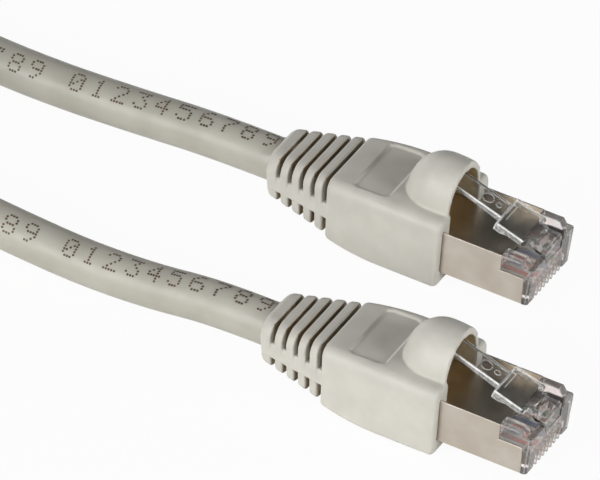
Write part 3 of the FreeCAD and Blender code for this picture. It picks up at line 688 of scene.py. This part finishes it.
def dome(front, rear_length, half_width, height, floor):
    """A half dome, with straight walls below it down to floor."""
    depths = [front, (front + HOOD_CROWN) / 2, HOOD_CROWN]
    depths += [HOOD_CROWN + rear_length * math.sin(DOME_SWEEP * step / DOME_STEPS)
               for step in range(1, DOME_STEPS + 1)]
    rings = []
    for x in depths:
        length = rear_length if x > HOOD_CROWN else HOOD_FRONT_LENGTH
        share = math.sqrt(1 - ((x - HOOD_CROWN) / length) ** 2)
        points = arc_points(0, BOOT_TOP, half_width * share, height * share, 0, 180, ARCH_STEPS)
        points += [(-half_width * share, floor), (half_width * share, floor)]
        rings.append([(-x, y, z) for y, z in points])
    return skin(rings)


# The sunk field on the boot's top: its front, rear, half width and depth, and its corners in plan
PANEL = (21.4, 26.65, 5.3, 0.3)
PANEL_CORNER = 0.5
PANEL_STEPS = 6
LEAST_CORNER = 0.01
ABOVE_ALL = 12


def panel_recess():
    """What is taken out of the boot's top for its sunk field, which follows the sloping face."""
    front, rear, half_width, depth = PANEL
    rings = []
    for step in range(PANEL_STEPS + 1):
        x = front + (rear - front) * step / PANEL_STEPS
        floor = bent(x, BOOT_TOP, BODY_REAR_TOP) - depth
        into = max(PANEL_CORNER - (x - front), PANEL_CORNER - (rear - x), 0)
        width = half_width - PANEL_CORNER + math.sqrt(max(PANEL_CORNER**2 - into**2, LEAST_CORNER))
        rings.append([(-x, width, floor), (-x, width, ABOVE_ALL),
                      (-x, -width, ABOVE_ALL), (-x, -width, floor)])
    return skin(rings)


def as_object(name, shapes):
    """One object, in mm, that holds several overlapping shapes."""
    carrier = bpy.data.meshes.new("carrier")
    whole = bmesh.new()
    for shape in shapes:
        shape.to_mesh(carrier)
        shape.free()
        whole.from_mesh(carrier)
    bpy.data.meshes.remove(carrier)
    return finished(name, whole, [])


def with_modifiers(made):
    """The object's mesh once its modifiers have worked."""
    bpy.context.view_layer.update()
    graph = bpy.context.evaluated_depsgraph_get()
    return bpy.data.meshes.new_from_object(made.evaluated_get(graph))


# How fine the fused skins are, since the ribs' slots need it finer, and how many times each is softened
VOXEL = 0.15
RELIEF_VOXEL = 0.11
BODY_SOFTENING = 3
RELIEF_SOFTENING = 2


def fuse(made, voxel):
    """Overlapping shapes become one skin, as a moulding is."""
    remesh = made.modifiers.new("fuse", "REMESH")
    remesh.mode = "VOXEL"
    remesh.voxel_size = voxel


def soften(made, times):
    """Rounds the edges a little, as a moulding's are."""
    rounding = made.modifiers.new("soften", "SMOOTH")
    rounding.factor = 0.5
    rounding.iterations = times


def skinned(mesh, finish, has_it):
    """The moulding takes the boots' skin, and the other finish on the faces whose middles have_it picks."""
    mesh.materials.append(boot_pvc)
    mesh.materials.append(finish)
    for face in mesh.polygons:
        if has_it(-face.center.x, face.center.y, face.center.z):
            face.material_index = 1
    return mesh


# How deep between the ribs the grooves are dull and painted darker as shade
GROOVE_SHADE_DEPTH = 0.35


def in_painted_groove_shade(x, y, z):
    """Deep between two ribs, where shade is painted."""
    depth = min(between(RIB_FEET, x) - abs(y), between(RIB_TOPS, x) - z, z - between(RIB_BOTTOMS, x))
    return depth > GROOVE_SHADE_DEPTH and BODY_REAR < x < BOOT_REAR - COLLAR_ROUNDING


def moulded_relief():
    """The ribs, sleeve and spine in one, with duller grooves painted darker as shade."""
    whole = as_object("relief", relief())
    fuse(whole, RELIEF_VOXEL)
    soften(whole, RELIEF_SOFTENING)
    mesh = with_modifiers(whole)
    bpy.data.objects.remove(whole)
    # Faces deep in the grooves get the painted shade
    return skinned(mesh, groove_shade_pvc, in_painted_groove_shade)


# What is cut out: the pocket for the plug, a slot on each side for its shield (its inner face, top and rear),
# and the hollow under the hood, which reaches past the front and down into the pocket
POCKET_HALF_WIDTH = 5.86
POCKET_REAR = 22.3
POCKET_FLOOR = -0.02
WELL_FLOOR = 5.02
SIDE_SLOT = (5.55, 6.48, 17.6)
PAST_FRONT = 2
PAST_FLOOR = 0.5

# The painted shade on the hollow's wall starts behind the rim, near the well's floor, and is at most this far
# from its dome
INSIDE_FRONT = 0.3
INSIDE_FLOOR = 0.2
INSIDE_REACH = 1.12


def in_painted_hood_shade(x, y, z):
    """On the wall of the hollow under the hood, which takes the painted shade."""
    rear_length, half_width, height = HOOD_INSIDE
    length = rear_length if x > HOOD_CROWN else HOOD_FRONT_LENGTH
    reach = ((x - HOOD_CROWN) / length) ** 2 + (y / half_width) ** 2 + (max(z - BOOT_TOP, 0) / height) ** 2
    return x > HOOD_FRONT + INSIDE_FRONT and z > WELL_FLOOR - INSIDE_FLOOR and reach < INSIDE_REACH


def moulding():
    """Body and hood in one, with the plug's pocket, the latch's well and the sunk panel taken out."""
    whole = as_object("moulding", [body(), dome(HOOD_FRONT, *HOOD_OUTSIDE, BOOT_TOP - SUNK)])
    fuse(whole, VOXEL)
    low, high, rear = SIDE_SLOT
    taken = [block(0, POCKET_REAR, -POCKET_HALF_WIDTH, POCKET_HALF_WIDTH, POCKET_FLOOR, WELL_FLOOR),
             block(0, rear, low, POCKET_HALF_WIDTH, 0, high),
             block(0, rear, -POCKET_HALF_WIDTH, -low, 0, high),
             dome(HOOD_FRONT - PAST_FRONT, *HOOD_INSIDE, WELL_FLOOR - PAST_FLOOR), panel_recess()]
    cutters = [as_object("cutter", [shape]) for shape in taken]
    for cutter in cutters:
        cut = whole.modifiers.new("cut", "BOOLEAN")
        cut.operation = "DIFFERENCE"
        cut.solver = "EXACT"
        cut.object = cutter
    fuse(whole, VOXEL)
    soften(whole, BODY_SOFTENING)
    mesh = with_modifiers(whole)
    for made in [whole] + cutters:
        bpy.data.objects.remove(made)
    # The wall of the hollow under the hood gets its painted shade
    return skinned(mesh, hood_shade_pvc, in_painted_hood_shade)


# The height at which the hood parts from the boot. Its rim wanders by so much, over this depth, in such waves
PARTING = 8.3
ON_PLANE = 1e-6
RIM_WANDER = 0.16
RIM_DEPTH = 0.8
RIM_WAVES = 0.9


def wander(shape):
    """The hood's thin front rim isn't quite true, as soft flash never is."""
    for vert in shape.verts:
        near = 1 - min(max(-vert.co.x - HOOD_FRONT, 0) / RIM_DEPTH, 1)
        if near > 0 and vert.co.z > PARTING:
            where = Vector((0.0, vert.co.y * RIM_WAVES, vert.co.z * RIM_WAVES))
            vert.co.x += RIM_WANDER * near * noise.noise(where)


def part_of(mesh, side, name, place):
    """The part of a moulding above (1) or below (-1) the parting height, set down on its plug."""
    shape = bmesh.new()
    shape.from_mesh(mesh)
    everything = shape.verts[:] + shape.edges[:] + shape.faces[:]
    bmesh.ops.bisect_plane(shape, geom=everything, dist=ON_PLANE, plane_co=(0, 0, PARTING),
                           plane_no=(0, 0, -side), clear_outer=True)
    for face in shape.faces:
        face.smooth = True
    rim = [edge for edge in shape.edges if edge.is_boundary]
    if rim:
        bmesh.ops.triangle_fill(shape, use_beauty=True, edges=rim)
    wander(shape)
    bmesh.ops.scale(shape, vec=(MM, MM, MM), verts=shape.verts)
    bmesh.ops.translate(shape, vec=[v * MM for v in place], verts=shape.verts)
    made = finished(name, shape, mesh.materials)
    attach(made, "cable")
    return made


block_and_hood = moulding()
ribs = moulded_relief()
for end, place in PLUGS.items():
    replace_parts(part_of(block_and_hood, -1, "moulded_boot_" + end, place), "boot_" + end)
    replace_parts(part_of(ribs, -1, "moulded_relief_" + end, place), "boot_" + end)
    soft_hood = part_of(block_and_hood, 1, "moulded_hood_" + end, place)
    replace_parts(soft_hood, "hood_" + end)
    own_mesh(soft_hood)


# Floor and light

FLOOR_SIZE = 6.0
FLOOR_WHITENING = 0.95

# The room's light at the horizon and overhead, and the heights, from 0 to 1, between which it fades
HORIZON_STRENGTH = 0.35
OVERHEAD_STRENGTH = 0.06
HORIZON_TOP = 0.05
OVERHEAD_START = 0.5


def looked_at(tree, in_gloss):
    """1 where the camera sees this straight or through clear plastic, and in one metal face if in_gloss."""
    allowed = 1.5 if in_gloss else 0.5
    rays = add(tree, "ShaderNodeLightPath").outputs
    seen = add(tree, "ShaderNodeMath", {0: rays["Is Camera Ray"], 1: rays["Is Transmission Ray"]},
               operation="MAXIMUM")
    if in_gloss:
        seen = add(tree, "ShaderNodeMath", {0: seen.outputs[0], 1: rays["Is Glossy Ray"]},
                   operation="MAXIMUM")
    turns = add(tree, "ShaderNodeMath", {0: rays["Glossy Depth"], 1: rays["Diffuse Depth"]},
                operation="ADD")
    direct = add(tree, "ShaderNodeMath", {0: turns.outputs[0], 1: allowed}, operation="LESS_THAN")
    both = add(tree, "ShaderNodeMath", {0: seen.outputs[0], 1: direct.outputs[0]}, operation="MULTIPLY")
    return both.outputs[0]


# White paper, which the camera sees nearly at full white, with the object's shadow on it
paper = bpy.data.materials.new("white_paper")
paper.use_nodes = True
tree = paper.node_tree
sheet = tree.nodes["Principled BSDF"]
sheet.inputs["Base Color"].default_value = linear("#F0F0EE")
sheet.inputs["Roughness"].default_value = 0.9
glow = add(tree, "ShaderNodeEmission", {"Color": WHITE, "Strength": 1.0})
whitened = add(tree, "ShaderNodeMath", {0: looked_at(tree, True), 1: FLOOR_WHITENING}, operation="MULTIPLY")
laid = add(tree, "ShaderNodeMixShader", {0: whitened.outputs[0], 1: sheet.outputs[0], 2: glow.outputs[0]})
tree.links.new(laid.outputs[0], tree.nodes["Material Output"].inputs["Surface"])
board = bmesh.new()
bmesh.ops.create_grid(board, x_segments=1, y_segments=1, size=FLOOR_SIZE / 2)
finished("floor", board, [paper])

# The room: white at the horizon, dimmer overhead, and plain white where the camera sees it
sky = bpy.data.worlds.new("white_room")
sky.use_nodes = True
scene.world = sky
tree = sky.node_tree
tree.nodes.clear()
ways = add(tree, "ShaderNodeSeparateXYZ", {0: add(tree, "ShaderNodeTexCoord").outputs["Generated"]})
fade = add(tree, "ShaderNodeMapRange", {"Value": ways.outputs["Z"],
                                        "From Min": HORIZON_TOP, "From Max": OVERHEAD_START,
                                        "To Min": HORIZON_STRENGTH, "To Max": OVERHEAD_STRENGTH})
plain = add(tree, "ShaderNodeBackground", {"Color": WHITE, "Strength": 1.0})
dim = add(tree, "ShaderNodeBackground", {"Color": WHITE, "Strength": fade.outputs["Result"]})
both = add(tree, "ShaderNodeMixShader", {0: looked_at(tree, False), 1: dim.outputs[0], 2: plain.outputs[0]})
add(tree, "ShaderNodeOutputWorld", {"Surface": both.outputs[0]})


def softbox(name, place, aim, size, watts):
    """A soft rectangular lamp, in metres, that points at aim."""
    light = bpy.data.lights.new(name, "AREA")
    light.shape = "RECTANGLE"
    light.size, light.size_y = size
    light.energy = watts
    made = bpy.data.objects.new(name, light)
    made.location = place
    made.rotation_mode = "QUATERNION"
    made.rotation_quaternion = (Vector(aim) - Vector(place)).to_track_quat("-Z", "Y")
    scene.collection.objects.link(made)


softbox("front_softbox", place=(-0.38, -0.85, 0.36), aim=(0, 0, 0.005), size=(0.7, 0.5), watts=8.4)
softbox("side_softbox", place=(0.9, -0.1, 0.4), aim=(0, 0, 0.005), size=(0.5, 0.5), watts=6.0)
softbox("back_softbox", place=(-0.95, 0.6, 0.25), aim=(-0.05, 0, 0.005), size=(0.5, 0.4), watts=2.8)

scene.view_settings.view_transform = "Standard"
